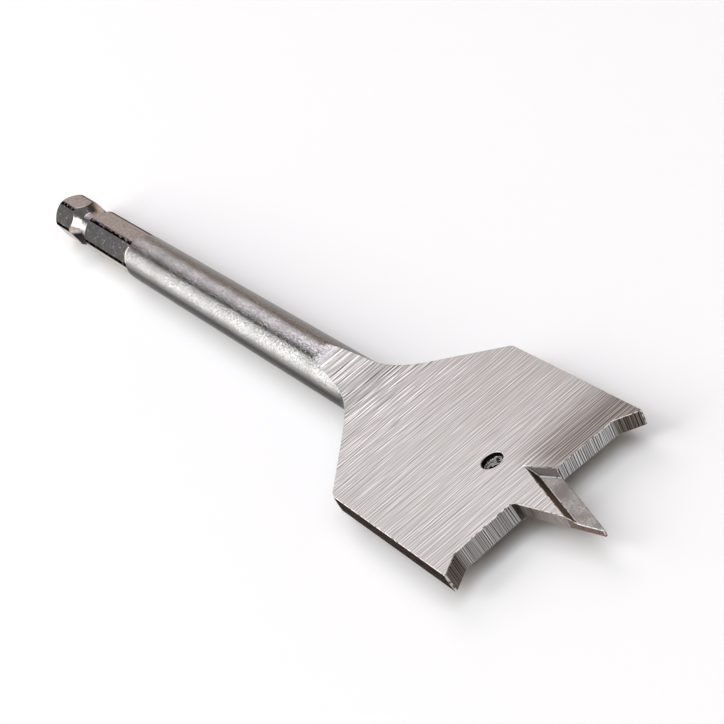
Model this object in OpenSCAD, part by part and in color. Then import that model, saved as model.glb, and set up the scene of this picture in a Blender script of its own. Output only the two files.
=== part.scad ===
// Spade drill bit for wood: one bar of tool steel, forged flat at the front and ground to shape.
// The axis is X, from the rear end of the hex shank to the tip, and the blade lies flat in XY.
// The bit cuts clockwise seen from behind, so a half turn about X brings it back onto itself.

/* [Overall] */
// Length from the rear end of the hex to the blunt tip
overall_len = 152; // [135:1:400]
// Diameter of the round bar that the shank keeps
shank_d = 7; // [6.5:0.1:8]

/* [Hex shank] */
// Distance across the flats milled on the bar
hex_af = 6.35; // [5.8:0.05:6.9]
// Length of the flats, from the rear end
hex_len = 30; // [22:0.5:45]
// Angle at which the flats run out into the round bar
hex_runout = 15; // [10:1:60]
// Turn of the flats about the axis, against the blade
hex_turn = 11.5; // [0:0.5:60]
// Length of the lead chamfer at the rear end
lead_len = 1.25; // [0.4:0.05:3]
// Diameter of the rear end face inside the lead chamfer
lead_d = 5.7; // [4:0.1:6.4]

/* [Retaining groove] */
// Distance from the rear end to the groove
groove_start = 7.1; // [4:0.1:10]
// Width of the groove at the corners of the hex
groove_w = 7.1; // [6:0.1:9]
// Diameter of the groove's bottom
groove_d = 4.8; // [4.4:0.1:6]
// Angle of the groove's flanks to the axis
groove_flank = 26; // [24:1:60]

/* [Forged neck] */
// Radius of the long arc in which the bar flattens into the blade
ramp_r = 96; // [60:1:150]
// Radius of the hollow blend between that arc and the blade's face
ramp_blend = 10; // [4:0.5:20]
// Distance from the foot of the shoulder to the flat face
flat_lead = 4.3; // [1:0.1:10]

/* [Blade] */
// Cutting diameter, across the ground sides
blade_w = 28; // [18:1:40]
// Thickness of the blade
blade_t = 2.3; // [1.8:0.05:3.2]
// Length of the parallel sides, from shoulder corner to spur tip
side_len = 25.9; // [15:0.1:40]
// Angle of the shoulders to the axis
shoulder_angle = 38; // [30:1:60]
// Hollow radius between the shank and the shoulder
shoulder_fillet = 8; // [2:0.5:12]
// Radius of the shoulder's outer corner
corner_r = 1.5; // [0.3:0.1:4]

/* [Cutting edges] */
// Relief angle of the ground front
relief = 11.8; // [5:0.1:18]
// Forward lean of the cutting edge towards its outer end
edge_lean = 1.5; // [0:0.1:6]
// Width of the spur at the outer end of the edge
spur_w = 2.8; // [1.5:0.1:4]
// Height of the spur's tip ahead of the edge
spur_h = 1.85; // [0.8:0.05:3]
// Width of the land on the spur's tip
spur_land = 0.2; // [0.1:0.05:0.6]
// Radius in the corner between edge and spur
spur_fillet = 0.8; // [0.2:0.1:1.5]

/* [Centre point] */
// Length of the point, from the cutting edge to the blunt tip
point_len = 12.4; // [9:0.1:18]
// Angle of the point's sides to the axis
point_half = 13; // [10:0.5:16]
// Width of the blunt tip
tip_w = 0.36; // [0.2:0.02:1]
// Radius in the corner between point and edge
root_fillet = 0.7; // [0.2:0.1:1.2]

/* [Gash of the point] */
// Depth of the gash below the blade's face
gash_depth = 0.7; // [0.3:0.05:0.85]
// Distance from the cutting edge back to the gash's inner corner
gash_reach = 4; // [2:0.1:6]
// Width of the gash, from its wall to the side of the point
gash_strip = 2.55; // [1.5:0.05:3.2]
// Angle of the gash's end wall to the axis
gash_turn = 22; // [10:1:35]
// Slope of the gash's walls
gash_slope = 45; // [35:1:70]

/* [Hole] */
// Diameter of the hole through the blade
hole_d = 2.7; // [1.5:0.1:4]
// Distance from the cutting edge back to the hole
hole_back = 8.6; // [7:0.1:14]

/* [Hidden] */
$fn = 96;
// How far a cutting shape reaches past the faces that it cuts
overcut = 1;
// How far the long arc's crown stands over the bar, so that the flat runs out at a small angle
crown = 0.05;
// Number of short chords in a rounded corner of an outline
arc_steps = 8;

shank_r = shank_d / 2;
flat_r = hex_af / 2;
blade_r = blade_w / 2;
half_t = blade_t / 2;

// The ground front, on the blade's face, from the cutting edge's line across the axis
edge_x = overall_len - point_len;
apex = point_len + tip_w / 2 / tan(point_half);
root_y = apex * tan(point_half) / (1 + tan(edge_lean) * tan(point_half));
notch_y = blade_r - spur_w;
spur_x = notch_y * tan(edge_lean) + spur_h;

// The neck, back from the spur tips
corner_x = edge_x + spur_x - side_len;
foot_x = corner_x - (blade_r - shank_r) / tan(shoulder_angle);
flat_x = foot_x + flat_lead;
blend_z = half_t + ramp_blend;
ramp_z = shank_r + crown - ramp_r;
ramp_x = flat_x - sqrt(pow(ramp_r + ramp_blend, 2) - pow(blend_z - ramp_z, 2));

// The gash's inner corner on the blade's face
gash_x = edge_x - gash_reach;
gash_y = (edge_x + apex - gash_x) * tan(point_half) - gash_strip / cos(point_half);
gash_span = point_len + gash_reach + blade_r;

function unit(v) = v / norm(v);

// The arc of radius r that rounds the corner at p, from the edge towards a to the edge towards b
function rounded(a, p, b, r) =
    let (
        u = unit(a - p),
        v = unit(b - p),
        half = acos(u * v) / 2,
        sweep = 180 - 2 * half,
        centre = p + unit(u + v) * r / sin(half),
        first = p + u * r / tan(half) - centre,
        last = p + v * r / tan(half) - centre
    )
    [
        for (step = [0:arc_steps])
            let (turn = sweep * step / arc_steps)
                centre + (first * sin(sweep - turn) + last * sin(turn)) / sin(sweep)
    ];

// Turns an outline of axial and radial distances about the axis
module turned() {
    rotate([0, 90, 0])
        rotate_extrude()
            mirror([1, -1, 0])
                children();
}

// Half outline of the bit, with the lead chamfer, the hollow neck, the shoulders and the ground sides
module half_outline() {
    lead = [lead_len, shank_r];
    foot = [foot_x, shank_r];
    corner = [corner_x, blade_r];
    front = [overall_len, blade_r];
    difference() {
        polygon([
            [0, 0],
            [0, lead_d / 2],
            lead,
            each rounded(lead, foot, corner, shoulder_fillet),
            each rounded(foot, corner, front, corner_r),
            front,
            [overall_len, 0],
        ]);
        groove_section();
    }
}

// Section of the ring groove that a chuck's ball drops into
module groove_section() {
    flank = (shank_r - groove_d / 2) / tan(groove_flank);
    over = overcut / tan(groove_flank);
    groove_end = groove_start + groove_w;
    polygon([
        [groove_start - over, shank_r + overcut],
        [groove_start + flank, groove_d / 2],
        [groove_end - flank, groove_d / 2],
        [groove_end + over, shank_r + overcut],
    ]);
}

// What is milled off the bar to leave the six flats
module hex_waste() {
    rim = shank_r + overcut;
    core = flat_r - overcut;
    runout_x = hex_len + (rim - flat_r) / tan(hex_runout);
    core_x = hex_len - overcut / tan(hex_runout);
    difference() {
        turned()
            polygon([
                [-overcut, 0],
                [-overcut, rim],
                [runout_x, rim],
                [core_x, core],
                [core_x, 0],
            ]);
        translate([-2 * overcut, 0, 0])
            rotate([hex_turn, 0, 0])
                rotate([0, 90, 0])
                    cylinder(r = flat_r / cos(30), h = runout_x + 3 * overcut, $fn = 6);
    }
}

// What forging and surface grinding take from above one face of the blade
module face_waste() {
    centre = [ramp_x, ramp_z];
    blend = [flat_x, blend_z];
    touch = centre + unit(blend - centre) * ramp_r;
    rotate([90, 0, 0])
        linear_extrude(height = blade_w + 2 * overcut, center = true)
            difference() {
                translate([ramp_x, half_t])
                    square([overall_len + overcut - ramp_x, blade_r]);
                translate(centre)
                    circle(ramp_r);
                difference() {
                    polygon([
                        touch,
                        blend,
                        [flat_x, half_t],
                        [flat_x, half_t - overcut],
                        [touch[0], half_t - overcut],
                    ]);
                    translate(blend)
                        circle(ramp_blend);
                }
            }
}

// A point of the front's outline on the blade's face, in the leaning plane of the ground front
function ground(x, y) = [x * cos(relief), y];

// What grinding takes from in front of one cutting edge, its spur and its side of the point
module front_waste() {
    ahead_x = apex + overcut;
    beside_y = blade_r + overcut;
    root = ground(root_y * tan(edge_lean), root_y);
    notch = ground(notch_y * tan(edge_lean), notch_y);
    spur = ground(spur_x, blade_r - spur_land);
    past_tip = ground(ahead_x, (apex - ahead_x) * tan(point_half));
    translate([edge_x, 0, half_t])
        rotate([0, relief, 0])
            linear_extrude(height = 2 * blade_w, center = true)
                polygon([
                    past_tip,
                    each rounded(past_tip, root, notch, root_fillet),
                    each rounded(root, notch, spur, spur_fillet),
                    spur,
                    ground(spur_x, beside_y),
                    ground(ahead_x, beside_y),
                ]);
}

// A cut with a flat floor and one sloping wall through the gash's inner corner, open in one direction
module walled_cut(direction) {
    slope = 1 / tan(gash_slope);
    translate([gash_x, gash_y, half_t])
        rotate([0, 0, direction])
            rotate([90, 0, 0])
                linear_extrude(height = 2 * gash_span, center = true)
                    polygon([
                        [gash_depth * slope, -gash_depth],
                        [gash_span, -gash_depth],
                        [gash_span, overcut],
                        [-overcut * slope, overcut],
                    ]);
}

// The gash thins the point: its side wall follows the point's side, its end wall runs to the edge
module gash() {
    intersection() {
        walled_cut(90 - point_half);
        walled_cut(gash_turn - 90);
    }
}

module spade_bit() {
    color("silver")
        difference() {
            turned()
                half_outline();
            hex_waste();
            for (turn = [0, 180])
                rotate([turn, 0, 0]) {
                    face_waste();
                    front_waste();
                    gash();
                }
            translate([edge_x - hole_back, 0, 0])
                cylinder(d = hole_d, h = blade_t + 2 * overcut, center = true);
        }
}

spade_bit();
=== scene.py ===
from itertools import compress
from math import cos, pi, radians, sin

import bmesh
import bpy
import numpy as np
from mathutils import Matrix, Quaternion, Vector


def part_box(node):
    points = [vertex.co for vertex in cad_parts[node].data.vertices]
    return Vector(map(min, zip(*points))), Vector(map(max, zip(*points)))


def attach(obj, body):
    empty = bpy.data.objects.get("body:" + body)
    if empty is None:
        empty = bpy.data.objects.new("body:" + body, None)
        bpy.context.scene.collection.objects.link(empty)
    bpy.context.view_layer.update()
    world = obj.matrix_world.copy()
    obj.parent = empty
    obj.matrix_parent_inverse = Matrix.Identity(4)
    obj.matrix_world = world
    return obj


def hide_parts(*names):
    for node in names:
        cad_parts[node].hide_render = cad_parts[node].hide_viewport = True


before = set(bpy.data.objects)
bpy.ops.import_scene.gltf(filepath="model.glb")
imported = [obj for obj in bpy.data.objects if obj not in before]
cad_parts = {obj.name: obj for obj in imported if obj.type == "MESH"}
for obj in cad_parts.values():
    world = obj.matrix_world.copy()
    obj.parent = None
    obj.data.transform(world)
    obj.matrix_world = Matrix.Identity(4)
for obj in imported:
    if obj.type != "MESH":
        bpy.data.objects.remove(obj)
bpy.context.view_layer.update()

# The bit is one bar of tool steel: its front is forged flat, then it is milled, turned and ground.
# The form is the solid's own. Its triangles are merged, and those of one plane become one face,
# so that each ground or milled face is a single clean plane. Angles are in radians.
MM = 0.001
MERGE = 0.001 * MM
SAME_PLANE = 0.0008
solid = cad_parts["spade_bit"]
bit = bpy.data.objects.new("bit", solid.data.copy())
bpy.context.scene.collection.objects.link(bit)
bit.data.materials.clear()
shape = bmesh.new()
shape.from_mesh(bit.data)
bmesh.ops.remove_doubles(shape, verts=shape.verts, dist=MERGE)
bmesh.ops.dissolve_limit(shape, angle_limit=SAME_PLANE, verts=shape.verts, edges=shape.edges)
shape.to_mesh(bit.data)
shape.free()
bit.data.shade_smooth()
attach(bit, "root")
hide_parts("spade_bit")

# Every face has one finish, by the way that it was made. Its middle, in millimetres, and its direction, in
# parts from -1 to 1, tell which: along the drilling axis from the rear end, across the blade, and up.
# The sections below follow the bit from its shank to its point, and sizes in them are in millimetres.
faces = bit.data.polygons
middle = np.empty(3 * len(faces))
facing = np.empty(3 * len(faces))
faces.foreach_get("center", middle)
faces.foreach_get("normal", facing)
along, across, up = middle.reshape(-1, 3).T / MM
facing_along, facing_across, facing_up = facing.reshape(-1, 3).T
off_axis = np.hypot(across, up)
finish = np.zeros(len(faces), dtype=np.int32)

# The round shank is hardened tool-steel bar, shot blasted to an even satin after the heat treatment.
# Fine pits scatter the light, so the edge of every reflection breaks up into sparkle. They are drawn at
# about twice their real size, so that they show. Along each side it is painted darker, as painted shade for a dark
# reflection.
PIT = 0.26
PIT_DEEP = 0.05
STAIN = 5
FRAY = 0.3
SIDE_SHADE_FROM = 3.34
SIDE_SHADE_FULL = 3.62
SATIN_DARK = "#757574"
SATIN_PALE = "#bcbcbb"
SATIN_RIM = "#c2c1c0"
# Noise keeps mostly between these two values, which a MapRange node takes to 0 and 1.
SPREAD = {"From Min": 0.3, "From Max": 0.7}


def new_finish(name, chosen):
    """A new empty material on the chosen faces."""
    material = bpy.data.materials.new(name)
    material.use_nodes = True
    material.node_tree.nodes.clear()
    bit.data.materials.append(material)
    finish[chosen] = len(bit.data.materials) - 1
    return material


def add(material, kind, inputs=None, out=None, **settings):
    """Adds a node: settings are its properties, and each input is a value or the output that is linked to it.

    The output that it gives back is the named one, or else the first that the settings leave in use.
    """
    tree = material.node_tree
    node = tree.nodes.new("ShaderNode" + kind)
    for name, value in settings.items():
        setattr(node, name, value)
    in_use = [socket for socket in node.inputs if socket.enabled]
    for name, value in (inputs or {}).items():
        socket = node.inputs[name] if isinstance(name, int) else next(s for s in in_use if s.name == name)
        if isinstance(value, bpy.types.NodeSocket):
            tree.links.new(value, socket)
        else:
            socket.default_value = value
    return next((s for s in node.outputs if s.enabled and out in (None, s.name)), None)


def linear(hex_colour):
    """An sRGB hex colour as linear red, green, blue and alpha: the sRGB standard's curve on each channel."""
    srgb = np.array([int(hex_colour[i:i + 2], 16) for i in (1, 3, 5)]) / 255
    return (*np.where(srgb <= 0.04045, srgb / 12.92, ((srgb + 0.055) / 1.055) ** 2.4), 1.0)


bar = new_finish("blasted_bar_steel", np.ones(len(faces), dtype=bool))
place = add(bar, "TexCoord", out="Object")
spot = add(bar, "SeparateXYZ", {"Vector": place}).node.outputs
pits = add(bar, "TexNoise", {"Vector": place, "Scale": 1 / (PIT * MM), "Detail": 2.0, "Roughness": 0.7})
grain = add(bar, "MapRange", {"Value": pits, **SPREAD})
tone = add(bar, "Mix", {"Factor": grain, "A": linear(SATIN_DARK), "B": linear(SATIN_PALE)}, data_type="RGBA")
cloud = add(bar, "TexNoise", {"Vector": place, "Scale": 1 / (STAIN * MM), "Detail": 3.0})
stain = add(bar, "MapRange", {"Value": cloud, "From Min": 0.4, "From Max": 0.8})
tone = add(bar, "Mix", {"Factor": stain, "A": tone, "B": linear("#8e8d8c")}, data_type="RGBA")
# Painted shade: the bar is darker along each side, where it shows a dark reflection.
to_side = add(bar, "Math", {0: spot["Y"]}, operation="ABSOLUTE")
frayed = add(bar, "Math", {0: pits, 1: FRAY * MM, 2: to_side}, operation="MULTIPLY_ADD")
painted_side_shade = add(bar, "MapRange", {
    "Value": frayed, "From Min": SIDE_SHADE_FROM * MM, "From Max": SIDE_SHADE_FULL * MM,
}, interpolation_type="SMOOTHSTEP")
tone = add(bar, "Mix", {"Factor": painted_side_shade, "A": tone, "B": linear("#3c3b3a")}, data_type="RGBA")
dents = add(bar, "Bump", {"Height": pits, "Strength": 1.0, "Distance": PIT_DEEP * MM})
satin = add(bar, "BsdfPrincipled", {
    "Base Color": tone, "Metallic": 1.0, "Roughness": 0.18, "Specular Tint": linear(SATIN_RIM), "Normal": dents,
})
add(bar, "OutputMaterial", {"Surface": satin})

# The six flats of the hex are milled on the bar, for the chuck's jaws. On the near side they are painted dark, as
# painted shade, with small bright specks, and above and beyond they are a warm grey. Near the bottom on the near
# side they are painted bright, as a painted highlight. The specks are drawn at about twice their real size.
SPECK = 0.34
SPECK_DEEP = 0.03
SKIN_CLOUD = 2.5
HIGHLIGHT_FROM = 0.9
HIGHLIGHT_FULL = 0.7
HEX_END = 30.3
CORNER_ACROSS = -0.7
flats = new_finish("milled_flats_painted_shade", along < HEX_END)
place = add(flats, "TexCoord", out="Object")
spot = add(flats, "SeparateXYZ", {"Vector": place}).node.outputs
skin = add(flats, "TexNoise", {"Vector": place, "Scale": 1 / (SPECK * MM), "Detail": 3.0, "Roughness": 0.65})
specks = add(flats, "MapRange", {"Value": skin, "From Min": 0.6, "From Max": 0.68})
cloud = add(flats, "TexNoise", {"Vector": place, "Scale": 1 / (SKIN_CLOUD * MM), "Detail": 2.0})
# Painted shade: the flats on the near side are dark.
near_shade_and_highlight = add(flats, "Mix", {"Factor": cloud, "A": linear("#2d2e32"), "B": linear("#434549")}, data_type="RGBA")
near_shade_and_highlight = add(flats, "Mix", {"Factor": specks, "A": near_shade_and_highlight, "B": linear("#a09fa0")}, data_type="RGBA")
grain = add(flats, "MapRange", {"Value": skin, **SPREAD})
# Painted highlight: bright near the bottom on the near side.
painted_highlight = add(flats, "Mix", {"Factor": grain, "A": linear("#d3cfca"), "B": linear("#e6e2dd")}, data_type="RGBA")
below = add(flats, "MapRange", {"Value": spot["Z"], "From Min": HIGHLIGHT_FROM * MM, "From Max": HIGHLIGHT_FULL * MM})
near_shade_and_highlight = add(flats, "Mix", {"Factor": below, "A": near_shade_and_highlight, "B": painted_highlight}, data_type="RGBA")
upper_grey = add(flats, "Mix", {"Factor": grain, "A": linear("#7d7776"), "B": linear("#cec7c5")}, data_type="RGBA")
# Above the corner the flats are grey, and below it they take the painted shade.
on_top = add(flats, "MapRange", {
    "Value": spot["Y"], "From Min": (CORNER_ACROSS - 0.1) * MM, "From Max": (CORNER_ACROSS + 0.1) * MM,
})
tone = add(flats, "Mix", {"Factor": on_top, "A": near_shade_and_highlight, "B": upper_grey}, data_type="RGBA")
dents = add(flats, "Bump", {"Height": skin, "Strength": 0.6, "Distance": SPECK_DEEP * MM})
milled = add(flats, "BsdfPrincipled", {
    "Base Color": tone, "Metallic": 1.0, "Roughness": 0.36, "Specular Tint": linear("#d3cec9"), "Normal": dents,
})
add(flats, "OutputMaterial", {"Surface": milled})

# Between the flats a narrow strip of the rolled bar is left at each corner, with its black mill scale.
# The scale is knocked off in short dashes, more of them on the upper corners, so the black line looks broken.
DASH = 0.5
STRIP_OFF_AXIS = 3.4
strip = (along < HEX_END) & (off_axis > STRIP_OFF_AXIS) & (np.abs(facing_along) < 0.05)
corners = new_finish("black_rolled_corners", strip)
place = add(corners, "TexCoord", out="Object")
spot = add(corners, "SeparateXYZ", {"Vector": place}).node.outputs
scale = add(corners, "TexNoise", {"Vector": place, "Scale": 1 / (DASH * MM), "Detail": 3.0})
upper = add(corners, "MapRange", {
    "Value": spot["Y"], "From Min": (CORNER_ACROSS - 0.15) * MM, "From Max": (CORNER_ACROSS + 0.15) * MM,
    "To Max": 0.16,
})
loose = add(corners, "Math", {0: scale, 1: upper})
knocked = add(corners, "MapRange", {"Value": loose, "From Min": 0.58, "From Max": 0.7})
tone = add(corners, "Mix", {"Factor": knocked, "A": linear("#1c1a1a"), "B": linear("#938c8a")}, data_type="RGBA")
rolled = add(corners, "BsdfPrincipled", {
    "Base Color": tone, "Metallic": 1.0, "Roughness": 0.45, "Specular Tint": linear("#3a3636"),
})
add(corners, "OutputMaterial", {"Surface": rolled})

# The ring groove, which a chuck's ball drops into, is turned last, so its steel is bright.
# The tool's fine rings run round the bar, drawn at about twice their pitch. The far side is duller,
# and the lower side is darker.
RING = 0.16
RING_RUN = 4
RING_DEEP = 0.02
DULL_FROM = 0.1
DULL_FULL = 1.2
LOWER_DARK_FROM = 0.9
LOWER_DARK_FULL = 0.3
GROOVE_FROM = 7
GROOVE_TO = 14.3
GROOVE_FLOOR = 2.6
turned = (along > GROOVE_FROM) & (along < GROOVE_TO)
turned &= (np.abs(facing_along) > 0.2) | (off_axis < GROOVE_FLOOR)
groove = new_finish("bright_turned_groove", turned)
place = add(groove, "TexCoord", out="Object")
spot = add(groove, "SeparateXYZ", {"Vector": place}).node.outputs
ring_place = add(groove, "Mapping", {
    "Vector": place, "Scale": (1 / (RING * MM), 1 / (RING_RUN * MM), 1 / (RING_RUN * MM)),
})
rings = add(groove, "TexNoise", {"Vector": ring_place, "Scale": 1.0, "Detail": 2.0})
tone = add(groove, "Mix", {"Factor": rings, "A": linear("#a5a1a3"), "B": linear("#d8d6d8")}, data_type="RGBA")
far_side = add(groove, "MapRange", {
    "Value": spot["Y"], "From Min": DULL_FROM * MM, "From Max": DULL_FULL * MM,
}, interpolation_type="SMOOTHSTEP")
tone = add(groove, "Mix", {"Factor": far_side, "A": tone, "B": linear("#b9b2af")}, data_type="RGBA")
# Darker towards the bottom.
below = add(groove, "MapRange", {
    "Value": spot["Z"], "From Min": LOWER_DARK_FROM * MM, "From Max": LOWER_DARK_FULL * MM,
}, interpolation_type="SMOOTHSTEP")
tone = add(groove, "Mix", {"Factor": below, "A": tone, "B": linear("#2a2626")}, data_type="RGBA")
ridges = add(groove, "Bump", {"Height": rings, "Strength": 0.3, "Distance": RING_DEEP * MM})
bright = add(groove, "BsdfPrincipled", {
    "Base Color": tone, "Metallic": 1.0, "Roughness": 0.2, "Specular Tint": linear("#cfcccc"), "Normal": ridges,
})
add(groove, "OutputMaterial", {"Surface": bright})

# Where a flat runs out into the round bar, the milling cutter leaves a short slope with a little chatter.
# It is cut steel, painted bright on the near side as a painted highlight, and dull above.
CHATTER = 0.3
RUNOUT_FROM = 29.9
RUNOUT_TO = 31.4
slope_back = (along > RUNOUT_FROM) & (along < RUNOUT_TO) & (facing_along < -0.1)
runout = new_finish("runout_painted_highlight", slope_back)
place = add(runout, "TexCoord", out="Object")
spot = add(runout, "SeparateXYZ", {"Vector": place}).node.outputs
chatter = add(runout, "TexNoise", {"Vector": place, "Scale": 1 / (CHATTER * MM), "Detail": 2.0})
# Painted highlight: the near side of the run-out is bright.
bright = add(runout, "Mix", {"Factor": chatter, "A": linear("#c9c6c3"), "B": linear("#f2f0ee")}, data_type="RGBA")
dull = add(runout, "Mix", {"Factor": chatter, "A": linear("#5f5956"), "B": linear("#857e7a")}, data_type="RGBA")
on_top = add(runout, "MapRange", {
    "Value": spot["Y"], "From Min": (CORNER_ACROSS - 0.6) * MM, "From Max": CORNER_ACROSS * MM,
})
tone = add(runout, "Mix", {"Factor": on_top, "A": bright, "B": dull}, data_type="RGBA")
cut = add(runout, "BsdfPrincipled", {"Base Color": tone, "Metallic": 1.0, "Roughness": 0.25})
add(runout, "OutputMaterial", {"Surface": cut})

# The blade's two faces are ground after the forging, by a belt that runs across them. It leaves fine lines,
# some deep and brown and some bright, which are drawn about three times coarser than real, so that they show.
# They are deepest on the tongue. Behind each cutting edge the steel is brown from the grinding heat.
LINE = 0.22
LINE_RUN = 7
SCRATCH = 0.26
SCRATCH_RUN = 4.5
LINE_DEPTH = 5
DEEPER = (0.75, 0.8, 1)
BLADE_FROM = 87
FACE_UP = 1.1
GROUND_FROM = 92.8
GROUND_FULL = 95.4
RAGGED = 9
SCRATCHED_FROM = 118
DEEP_FROM = 116
TONGUE_AT = 98
WARM_CLOUD = 4
WARM_SHIFT = 14
WARM_FROM = 4
WARM_FULL = 20
HEAT_FROM = 129
HEAT_FULL = 139.4
HEAT_ACROSS = 5
HALF_STEP_ALONG = (0.5, 0, 0)
HALF_STEP_ACROSS = (0, 0.5, 0)


def hairlines(material, spread_place, aside):
    """Noise, and that noise less the same noise half a step aside.

    In the difference the broad clouds cancel out and only the finest lines stay, on both sides of zero.
    """
    here = add(material, "TexNoise", {"Vector": spread_place, "Scale": 1.0, "Detail": 0.0})
    moved = add(material, "VectorMath", {0: spread_place, 1: aside})
    beside = add(material, "TexNoise", {"Vector": moved, "Scale": 1.0, "Detail": 0.0})
    return here, add(material, "Math", {0: here, 1: beside}, operation="SUBTRACT")


broad = (np.abs(facing_up) > 0.9) & (along > BLADE_FROM) & (np.abs(up) > FACE_UP)
blade = new_finish("belt_ground_blade", broad)
place = add(blade, "TexCoord", out="Object")
spot = add(blade, "SeparateXYZ", {"Vector": place}).node.outputs
line_place = add(blade, "Mapping", {
    "Vector": place, "Scale": (1 / (LINE * MM), 1 / (LINE_RUN * MM), 1 / (LINE_DEPTH * MM)),
})
lines, line_slope = hairlines(blade, line_place, HALF_STEP_ALONG)
fine = add(blade, "MapRange", {"Value": line_slope, "From Min": -0.3, "From Max": 0.3})
tone = add(blade, "Mix", {"Factor": fine, "A": linear("#7e7d78"), "B": linear("#b7b6b1")}, data_type="RGBA")

# The scratches among the lines, stronger towards the tongue.
rear = add(blade, "MapRange", {
    "Value": spot["X"], "From Min": SCRATCHED_FROM * MM, "From Max": TONGUE_AT * MM, "To Min": 0.35, "To Max": 1.5,
})
scratch_place = add(blade, "Mapping", {
    "Vector": place, "Scale": (1 / (SCRATCH * MM), 1 / (SCRATCH_RUN * MM), 1 / (LINE_DEPTH * MM)),
})
steep = hairlines(blade, scratch_place, HALF_STEP_ALONG)[1]
brown = add(blade, "MapRange", {"Value": steep, "From Min": -0.15, "From Max": -0.3, "To Max": rear})
tone = add(blade, "Mix", {"Factor": brown, "A": tone, "B": linear("#41372f")}, data_type="RGBA")
white = add(blade, "MapRange", {"Value": steep, "From Min": 0.15, "From Max": 0.3, "To Max": rear})
tone = add(blade, "Mix", {"Factor": white, "A": tone, "B": linear("#ededea")}, data_type="RGBA")

# The deeper lines, on the tongue alone.
on_tongue = add(blade, "MapRange", {"Value": spot["X"], "From Min": DEEP_FROM * MM, "From Max": TONGUE_AT * MM})
deep_place = add(blade, "VectorMath", {0: scratch_place, 1: DEEPER}, operation="MULTIPLY")
deep = hairlines(blade, deep_place, HALF_STEP_ALONG)[1]
brown = add(blade, "MapRange", {"Value": deep, "From Min": -0.14, "From Max": -0.32, "To Max": on_tongue})
tone = add(blade, "Mix", {"Factor": brown, "A": tone, "B": linear("#4e3f33")}, data_type="RGBA")
white = add(blade, "MapRange", {"Value": deep, "From Min": 0.12, "From Max": 0.32, "To Max": on_tongue})
tone = add(blade, "Mix", {"Factor": white, "A": tone, "B": linear("#ededea")}, data_type="RGBA")

# The heat: a warm cloud towards the side that cuts, and brown close behind its edge, most in the lines' hollows.
face_side = add(blade, "Math", {0: spot["Z"]}, operation="SIGN")
edge_side = add(blade, "Math", {0: spot["Y"], 1: face_side}, operation="MULTIPLY")
cloud = add(blade, "TexNoise", {"Vector": place, "Scale": 1 / (WARM_CLOUD * MM), "Detail": 2.0})
to_side = add(blade, "Math", {0: cloud, 1: WARM_SHIFT * MM, 2: edge_side}, operation="MULTIPLY_ADD")
warm = add(blade, "MapRange", {
    "Value": to_side, "From Min": WARM_FROM * MM, "From Max": WARM_FULL * MM, "To Max": 0.18,
})
tone = add(blade, "Mix", {"Factor": warm, "A": tone, "B": linear("#5c504a")}, data_type="RGBA")
near_edge = add(blade, "MapRange", {
    "Value": spot["X"], "From Min": HEAT_FROM * MM, "From Max": HEAT_FULL * MM,
}, interpolation_type="SMOOTHERSTEP")
edge_half = add(blade, "MapRange", {
    "Value": edge_side, "From Min": 0.0, "From Max": HEAT_ACROSS * MM,
}, interpolation_type="SMOOTHSTEP")
heat = add(blade, "Math", {0: near_edge, 1: edge_half}, operation="MULTIPLY")
hollow = add(blade, "MapRange", {"Value": fine, "From Min": 0.8, "From Max": 0.2, "To Min": 0.4})
heat = add(blade, "Math", {0: heat, 1: hollow}, operation="MULTIPLY")
tone = add(blade, "Mix", {"Factor": heat, "A": tone, "B": linear("#4f453e")}, data_type="RGBA")

# Further back the tongue is blasted like the shank, and the border is ragged where the belt began to cut.
# The border's noise averages a half, so half of RAGGED is added to its place.
pits = add(blade, "TexNoise", {"Vector": place, "Scale": 1 / (PIT * MM), "Detail": 2.0, "Roughness": 0.7})
grain = add(blade, "MapRange", {"Value": pits, **SPREAD})
blasted = add(blade, "Mix", {
    "Factor": grain, "A": linear(SATIN_DARK), "B": linear(SATIN_PALE),
}, data_type="RGBA")
ragged = add(blade, "TexNoise", {"Vector": scratch_place, "Scale": 0.5, "Detail": 2.0})
reach = add(blade, "Math", {0: ragged, 1: RAGGED * MM, 2: spot["X"]}, operation="MULTIPLY_ADD")
ground = add(blade, "MapRange", {
    "Value": reach, "From Min": (GROUND_FROM + RAGGED / 2) * MM, "From Max": (GROUND_FULL + RAGGED / 2) * MM,
})
tone = add(blade, "Mix", {"Factor": ground, "A": blasted, "B": tone}, data_type="RGBA")
low_lines = add(blade, "Math", {0: lines, 1: 0.25}, operation="MULTIPLY")
relief = add(blade, "Mix", {"Factor": ground, "A": pits, "B": low_lines})
ridges = add(blade, "Bump", {"Height": relief, "Strength": 1.0, "Distance": PIT_DEEP * MM})
gloss = add(blade, "MapRange", {"Value": ground, "To Min": 0.2, "To Max": 0.36})
belt = add(blade, "BsdfPrincipled", {
    "Base Color": tone, "Metallic": 1.0, "Roughness": gloss, "Specular Tint": linear(SATIN_RIM), "Normal": ridges,
})
add(blade, "OutputMaterial", {"Surface": belt})

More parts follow.
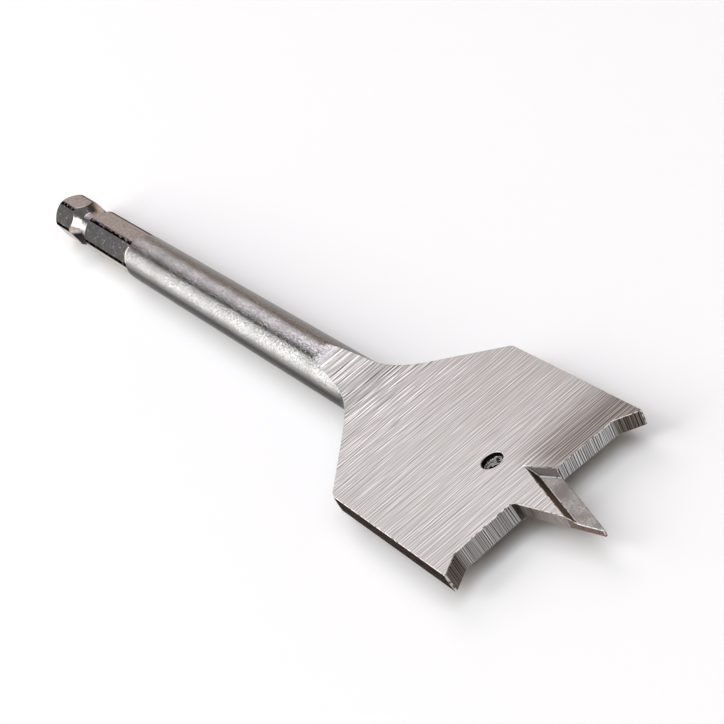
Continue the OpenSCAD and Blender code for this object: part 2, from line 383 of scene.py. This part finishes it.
# The two sides of the blade are ground along their length to the cutting diameter.
# They are painted dark, as painted shade for a dark reflection, with brown streaks lengthwise.
STREAK = 0.22
STREAK_RUN = 1.6
STREAK_IN = 1
STREAK_DEEP = 0.02
SIDE_ACROSS = 13.2
SIDE_FROM = 110
side = (np.abs(across) > SIDE_ACROSS) & (np.abs(facing_across) > 0.6) & (along > SIDE_FROM)
sides = new_finish("ground_sides_painted_shade", side)
place = add(sides, "TexCoord", out="Object")
streak_place = add(sides, "Mapping", {
    "Vector": place, "Scale": (1 / (STREAK_RUN * MM), 1 / (STREAK_IN * MM), 1 / (STREAK * MM)),
})
streaks = add(sides, "TexNoise", {"Vector": streak_place, "Scale": 1.0, "Detail": 4.0, "Roughness": 0.65})
streaky = add(sides, "MapRange", {"Value": streaks, **SPREAD})
tone = add(sides, "Mix", {"Factor": streaky, "A": linear("#3f3632"), "B": linear("#968b85")}, data_type="RGBA")
ridges = add(sides, "Bump", {"Height": streaks, "Strength": 0.35, "Distance": STREAK_DEEP * MM})
dark = add(sides, "BsdfPrincipled", {
    "Base Color": tone, "Metallic": 1.0, "Roughness": 0.38, "Specular Tint": linear("#3a3431"), "Normal": ridges,
})
add(sides, "OutputMaterial", {"Surface": dark})

# The front behind each cutting edge is ground by a wheel that runs through the thickness of the blade.
# Its upright lines are grey with dark and bright ones between, and brown on the spurs. The front at the
# left is painted darker than the one at the right, as painted shade. The lines are drawn at about twice their real
# pitch.
WHEEL_LINE = 0.14
WHEEL_RUN = 6
WHEEL_DEEP = 0.02
BAND = 0.9
BAND_RUN = 12
FRONT_FROM = 138.5
POINT_ROOT = 2.9
SPUR_TIP = 13.95
SPUR_FROM = 10.6
SPUR_FULL = 11.6
front = (facing_along > 0.5) & (along > FRONT_FROM)
front &= (np.abs(across) > POINT_ROOT) & (np.abs(across) < SPUR_TIP)
fronts = new_finish("wheel_ground_front", front)
place = add(fronts, "TexCoord", out="Object")
spot = add(fronts, "SeparateXYZ", {"Vector": place}).node.outputs
wheel_place = add(fronts, "Mapping", {
    "Vector": place, "Scale": (1 / (WHEEL_RUN * MM), 1 / (WHEEL_LINE * MM), 1 / (WHEEL_RUN * MM)),
})
wheel, wheel_slope = hairlines(fronts, wheel_place, HALF_STEP_ACROSS)
fine = add(fronts, "MapRange", {"Value": wheel_slope, "From Min": -0.2, "From Max": 0.2})
tone = add(fronts, "Mix", {"Factor": fine, "A": linear("#3c3837"), "B": linear("#f2f2f3")}, data_type="RGBA")
band_place = add(fronts, "Mapping", {
    "Vector": place, "Scale": (1 / (BAND_RUN * MM), 1 / (BAND * MM), 1 / (BAND_RUN * MM)),
})
bands = add(fronts, "TexNoise", {"Vector": band_place, "Scale": 1.0, "Detail": 2.0})
strong = add(fronts, "MapRange", {"Value": bands, **SPREAD, "To Min": 0.4})
tone = add(fronts, "Mix", {"Factor": strong, "A": linear("#807c7b"), "B": tone}, data_type="RGBA")
# Painted shade: the front at the left is darker.
painted_shade_left = add(fronts, "MapRange", {"Value": spot["Y"], "From Min": MM, "From Max": -MM, "To Max": 0.4})
tone = add(fronts, "Mix", {"Factor": painted_shade_left, "A": tone, "B": linear("#504f4e")}, data_type="RGBA")
spur = add(fronts, "Mix", {"Factor": fine, "A": linear("#2b2520"), "B": linear("#7c736b")}, data_type="RGBA")
to_side = add(fronts, "Math", {0: spot["Y"]}, operation="ABSOLUTE")
on_spur = add(fronts, "MapRange", {"Value": to_side, "From Min": SPUR_FROM * MM, "From Max": SPUR_FULL * MM})
tone = add(fronts, "Mix", {"Factor": on_spur, "A": tone, "B": spur}, data_type="RGBA")
ridges = add(fronts, "Bump", {"Height": wheel, "Strength": 0.4, "Distance": WHEEL_DEEP * MM})
wheeled = add(fronts, "BsdfPrincipled", {
    "Base Color": tone, "Metallic": 1.0, "Roughness": 0.34, "Normal": ridges,
})
add(fronts, "OutputMaterial", {"Surface": wheeled})

# The sides of the centre point are ground on the same wheel, and the root is painted nearly black, as painted
# shade.
# The thin end, past the gash, is tinted tan by the heat.
POINT_LINE = 0.25
POINT_LINE_IN = 1
POINT_LINE_RUN = 3
POINT_ACROSS = 3.8
ROOT_ACROSS = 3.3
TIP_FACE = 151.5
ROOT_FROM = 141
ROOT_FULL = 139.6
TAN_FROM = 146.8
TAN_FULL = 147.3
point = (along > FRONT_FROM) & (np.abs(across) < POINT_ACROSS) & (np.abs(facing_up) < 0.6)
point &= (facing_along < 0.5) | (along > TIP_FACE) | (np.abs(across) < ROOT_ACROSS)
points = new_finish("ground_point", point)
place = add(points, "TexCoord", out="Object")
spot = add(points, "SeparateXYZ", {"Vector": place}).node.outputs
wheel_place = add(points, "Mapping", {
    "Vector": place, "Scale": (1 / (POINT_LINE * MM), 1 / (POINT_LINE_IN * MM), 1 / (POINT_LINE_RUN * MM)),
})
wheel = add(points, "TexNoise", {"Vector": wheel_place, "Scale": 1.0, "Detail": 3.0, "Roughness": 0.6})
fine = add(points, "MapRange", {"Value": wheel, **SPREAD})
tone = add(points, "Mix", {"Factor": fine, "A": linear("#867e7b"), "B": linear("#c6bfbb")}, data_type="RGBA")
# Painted shade: darker towards the root of the point.
root = add(points, "MapRange", {
    "Value": spot["X"], "From Min": ROOT_FROM * MM, "From Max": ROOT_FULL * MM,
}, interpolation_type="SMOOTHSTEP")
tone = add(points, "Mix", {"Factor": root, "A": tone, "B": linear("#3a3432")}, data_type="RGBA")
tan = add(points, "Mix", {"Factor": fine, "A": linear("#5e4e45"), "B": linear("#95857c")}, data_type="RGBA")
thin_end = add(points, "MapRange", {"Value": spot["X"], "From Min": TAN_FROM * MM, "From Max": TAN_FULL * MM})
tone = add(points, "Mix", {"Factor": thin_end, "A": tone, "B": tan}, data_type="RGBA")
ridges = add(points, "Bump", {"Height": wheel, "Strength": 0.3, "Distance": WHEEL_DEEP * MM})
pointed = add(points, "BsdfPrincipled", {
    "Base Color": tone, "Metallic": 1.0, "Roughness": 0.4, "Specular Tint": linear("#d0cac6"), "Normal": ridges,
})
add(points, "OutputMaterial", {"Surface": pointed})

# The gash that thins the point is ground into each face with a fine wheel.
# Its floor is matt and mottled, without lines, and parts of it have a faint violet heat tint.
MATT = 0.25
MATT_DEEP = 0.02
TINT_CLOUD = 3
GASH_FLOOR = 0.45
floor_face = (np.abs(np.abs(up) - GASH_FLOOR) < 0.02) & (np.abs(facing_up) > 0.95)
gash = new_finish("matt_ground_gash", floor_face)
place = add(gash, "TexCoord", out="Object")
matt = add(gash, "TexNoise", {"Vector": place, "Scale": 1 / (MATT * MM), "Detail": 3.0, "Roughness": 0.6})
mottled = add(gash, "MapRange", {"Value": matt, **SPREAD})
tone = add(gash, "Mix", {"Factor": mottled, "A": linear("#6f6d68"), "B": linear("#9d9d97")}, data_type="RGBA")
cloud = add(gash, "TexNoise", {"Vector": place, "Scale": 1 / (TINT_CLOUD * MM), "Detail": 2.0})
tinted = add(gash, "MapRange", {"Value": cloud, "From Min": 0.45, "From Max": 0.65})
tone = add(gash, "Mix", {"Factor": tinted, "A": tone, "B": linear("#6f6966")}, data_type="RGBA")
dents = add(gash, "Bump", {"Height": matt, "Strength": 0.2, "Distance": MATT_DEEP * MM})
dull = add(gash, "BsdfPrincipled", {"Base Color": tone, "Metallic": 1.0, "Roughness": 0.45, "Normal": dents})
add(gash, "OutputMaterial", {"Surface": dull})

# The gash's two walls slope as the wheel's corner left them. The long one, beside the point, is burnt
# dark brown in streaks, and the short one at the end is rubbed grey.
BURN = 0.3
BURN_RUN = 1.5
RUB = 0.3
WALL_FROM = 134
WALL_TOP = 1.15
WALL_SLOPE = radians(45)
wall = (np.abs(np.abs(facing_up) - cos(WALL_SLOPE)) < 0.03) & (along > WALL_FROM) & (np.abs(up) < WALL_TOP)
long_wall = wall & (facing_across * facing_up > 0)
walls = new_finish("brown_gash_wall", long_wall)
place = add(walls, "TexCoord", out="Object")
burn_place = add(walls, "Mapping", {
    "Vector": place, "Scale": (1 / (BURN_RUN * MM), 1 / (BURN * MM), 1 / (BURN * MM)),
})
burn = add(walls, "TexNoise", {"Vector": burn_place, "Scale": 1.0, "Detail": 3.0})
tone = add(walls, "Mix", {"Factor": burn, "A": linear("#3b312b"), "B": linear("#6e5d52")}, data_type="RGBA")
burnt = add(walls, "BsdfPrincipled", {"Base Color": tone, "Metallic": 1.0, "Roughness": 0.4})
add(walls, "OutputMaterial", {"Surface": burnt})
ends = new_finish("grey_gash_end", wall & ~long_wall)
place = add(ends, "TexCoord", out="Object")
rub = add(ends, "TexNoise", {"Vector": place, "Scale": 1 / (RUB * MM), "Detail": 3.0})
tone = add(ends, "Mix", {"Factor": rub, "A": linear("#3a3637"), "B": linear("#5a5656")}, data_type="RGBA")
rubbed_end = add(ends, "BsdfPrincipled", {"Base Color": tone, "Metallic": 1.0, "Roughness": 0.4})
add(ends, "OutputMaterial", {"Surface": rubbed_end})

# The hole is drilled through the blade, to hang or wire the bit, and its wall is painted dark near the mouths, as
# painted shade. The drill has torn rings into it, which are painted bright further in, as painted glints. They are
# drawn deeper than real, so that they catch the light.
TORN_RING = 0.22
TORN_RUN = 0.8
TORN_DEEP = 0.7
HOLE_AT = 131
HOLE_REACH = 1.4
MOUTH = 0.9
GLINT_IN = 0.3
drilled = (np.hypot(along - HOLE_AT, across) < HOLE_REACH) & (np.abs(facing_up) < 0.2)
hole = new_finish("drilled_hole", drilled)
place = add(hole, "TexCoord", out="Object")
spot = add(hole, "SeparateXYZ", {"Vector": place}).node.outputs
ring_place = add(hole, "Mapping", {
    "Vector": place, "Scale": (1 / (TORN_RUN * MM), 1 / (TORN_RUN * MM), 1 / (TORN_RING * MM)),
})
torn = add(hole, "TexNoise", {"Vector": ring_place, "Scale": 1.0, "Detail": 3.0, "Roughness": 0.6})
off_middle = add(hole, "Math", {0: spot["Z"]}, operation="ABSOLUTE")
# Painted shade near the mouths, and painted glints further in.
inner = add(hole, "MapRange", {
    "Value": off_middle, "From Min": MOUTH * MM, "From Max": GLINT_IN * MM, "To Min": -0.25, "To Max": 0.1,
})
painted_glint = add(hole, "Math", {0: torn, 1: inner})
painted_glint = add(hole, "MapRange", {"Value": painted_glint, "From Min": 0.54, "From Max": 0.58})
tone = add(hole, "Mix", {"Factor": painted_glint, "A": linear("#14110f"), "B": linear("#fbf8f4")}, data_type="RGBA")
tears = add(hole, "Bump", {"Height": torn, "Strength": 1.0, "Distance": TORN_DEEP * MM})
bored = add(hole, "BsdfPrincipled", {"Base Color": tone, "Metallic": 1.0, "Roughness": 0.2, "Normal": tears})
add(hole, "OutputMaterial", {"Surface": bored})

# All sharp corners are broken by a hair, as grinding and handling leave them, on the hex less than on the blade.
# On the blade they are painted bright, partly for wear where the burr is rubbed off and partly as a painted
# highlight, with dark nicks between.
NICK = 0.5
CORNER_BREAK = 0.08
HEX_BREAK = 0.05
HEX_EDGES_TO = 30.1
BLADE_EDGES_FROM = 100
SHARP = radians(24)
CREASE = radians(12.5)
edges = new_finish("worn_edge_painted_highlight", np.zeros(len(faces), dtype=bool))
edge_finish = len(bit.data.materials) - 1
place = add(edges, "TexCoord", out="Object")
nick = add(edges, "TexNoise", {"Vector": place, "Scale": 1 / (NICK * MM), "Detail": 3.0, "Roughness": 0.65})
nicked = add(edges, "MapRange", {"Value": nick, "From Min": 0.5, "From Max": 0.36})
tone = add(edges, "Mix", {"Factor": nicked, "A": linear("#cdc8c4"), "B": linear("#5b514b")}, data_type="RGBA")
worn_edge_and_highlight = add(edges, "BsdfPrincipled", {"Base Color": tone, "Metallic": 1.0, "Roughness": 0.35})
add(edges, "OutputMaterial", {"Surface": worn_edge_and_highlight})
faces.foreach_set("material_index", finish)
bit.data.set_sharp_from_angle(angle=CREASE)
ends_of = np.empty(2 * len(bit.data.edges), dtype=np.int32)
corner_at = np.empty(3 * len(bit.data.vertices))
bit.data.edges.foreach_get("vertices", ends_of)
bit.data.vertices.foreach_get("co", corner_at)
edge_along = corner_at[::3][ends_of].reshape(-1, 2) / MM
shape = bmesh.new()
shape.from_mesh(bit.data)
sharp = np.array([edge.calc_face_angle() for edge in shape.edges]) > SHARP
hex_edges = list(compress(shape.edges, sharp & (edge_along.max(axis=1) < HEX_EDGES_TO)))
blade_edges = list(compress(shape.edges, sharp & (edge_along.min(axis=1) > BLADE_EDGES_FROM)))
rounding = {"segments": 2, "profile": 0.5, "affect": "EDGES"}
bmesh.ops.bevel(shape, geom=hex_edges, offset=HEX_BREAK * MM, material=-1, **rounding)
bmesh.ops.bevel(shape, geom=blade_edges, offset=CORNER_BREAK * MM, material=edge_finish, **rounding)
shape.to_mesh(bit.data)
shape.free()
even = bit.modifiers.new("even shading", "WEIGHTED_NORMAL")
even.keep_sharp = True

# The bit lies on a plain sheet of white paper, which touches the round shank.
# It is wide enough to fill the view, and it keeps the bit's soft shadow.
FLOOR_SIZE = 4.0
low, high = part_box("spade_bit")
corner = np.array([[-1, -1], [1, -1], [1, 1], [-1, 1]]) * FLOOR_SIZE / 2
sheet = bpy.data.meshes.new("floor")
sheet.from_pydata(np.c_[corner, np.full(4, low.z)], [], [(0, 1, 2, 3)])
floor = bpy.data.objects.new("floor", sheet)
bpy.context.scene.collection.objects.link(floor)
paper = bpy.data.materials.new("white_paper")
paper.use_nodes = True
paper_look = paper.node_tree.nodes["Principled BSDF"].inputs
paper_look["Base Color"].default_value = linear("#f8f8f8")
paper_look["Roughness"].default_value = 0.9
floor.data.materials.append(paper)

# Soft studio light: two large panels behind the bit with a dim gap between them, one at the left and one
# overhead. A panel's place is given round the drilling axis, since the round shank mirrors it as a band
# along the bar. Distances and sizes are in metres.
centre = (low + high) / 2


def panel(name, round_axis, off_rear, distance, length, width, radiance, colour="#ffffff"):
    """A rectangular lamp that faces the bit. Its direction makes the angle off_rear with the bar's rear end,
    turned by round_axis about the bar from the blade's right side towards its top, both in degrees. Its length
    runs round the bar. Power is radiance times pi times area, for an even radiance."""
    turn, off = radians(round_axis), radians(off_rear)
    way = Vector((-cos(off), sin(off) * cos(turn), sin(off) * sin(turn)))
    round_way = Vector((0, -sin(turn), cos(turn)))
    lamp = bpy.data.lights.new(name, "AREA")
    lamp.shape = "RECTANGLE"
    lamp.size = length
    lamp.size_y = width
    lamp.energy = radiance * pi * length * width
    lamp.color = linear(colour)[:3]
    holder = bpy.data.objects.new(name, lamp)
    bpy.context.scene.collection.objects.link(holder)
    turned_way = Matrix((round_way, way.cross(round_way), way)).transposed()
    holder.matrix_world = Matrix.Translation(centre + way * distance) @ turned_way.to_4x4()


panel(
    "panel_rear_left", round_axis=160, off_rear=33, distance=0.9,
    length=0.72, width=0.3, radiance=3.5, colour="#f9fcff",
)
panel(
    "panel_rear_top", round_axis=70, off_rear=44, distance=0.9,
    length=0.43, width=0.58, radiance=2.6, colour="#fcf7ff",
)
panel(
    "panel_left", round_axis=140, off_rear=76, distance=0.9,
    length=0.7, width=0.6, radiance=2.7,
)
panel(
    "panel_overhead", round_axis=95, off_rear=114, distance=1.0,
    length=1.2, width=1.2, radiance=1.9, colour="#f9fbff",
)

# The room around the table has warm pale walls, and a dim ceiling above them.
# The upper side of the round shank mirrors the walls as a warm grey band. Heights are a direction's upward part.
WALL_HIGH = 0.1
CEILING_LOW = 0.4
WALL_LEVEL = 1.12
CEILING_LEVEL = 0.08
room = bpy.data.worlds.new("room")
bpy.context.scene.world = room
room.use_nodes = True
sky = room.node_tree.nodes["Background"].inputs
way_up = add(room, "SeparateXYZ", {"Vector": add(room, "TexCoord", out="Generated")}, out="Z")
level = add(room, "MapRange", {
    "Value": way_up, "From Min": WALL_HIGH, "From Max": CEILING_LOW,
    "To Min": WALL_LEVEL, "To Max": CEILING_LEVEL,
})
room.node_tree.links.new(level, sky["Strength"])
sky["Color"].default_value = linear("#f3dfca")

# The camera looks down on the bit from in front of its tip, as in the photograph.
# Its place, direction and lens come from a fit to edges of the bit that were measured there.
CAMERA_AT = Vector((310.66, -54.42, 127.75))
LOOKING = Vector((-0.8387, 0.2230, -0.4969))
ROLL = radians(-31.8)
camera_data = bpy.data.cameras.new("camera")
camera_data.sensor_width = 36.0
camera_data.lens = 102.6
camera = bpy.data.objects.new("camera", camera_data)
bpy.context.scene.collection.objects.link(camera)
camera.location = CAMERA_AT * MM
camera.rotation_euler = (LOOKING.to_track_quat("-Z", "Y") @ Quaternion((0, 0, 1), ROLL)).to_euler()
bpy.context.scene.camera = camera
bpy.context.scene.view_settings.view_transform = "Standard"
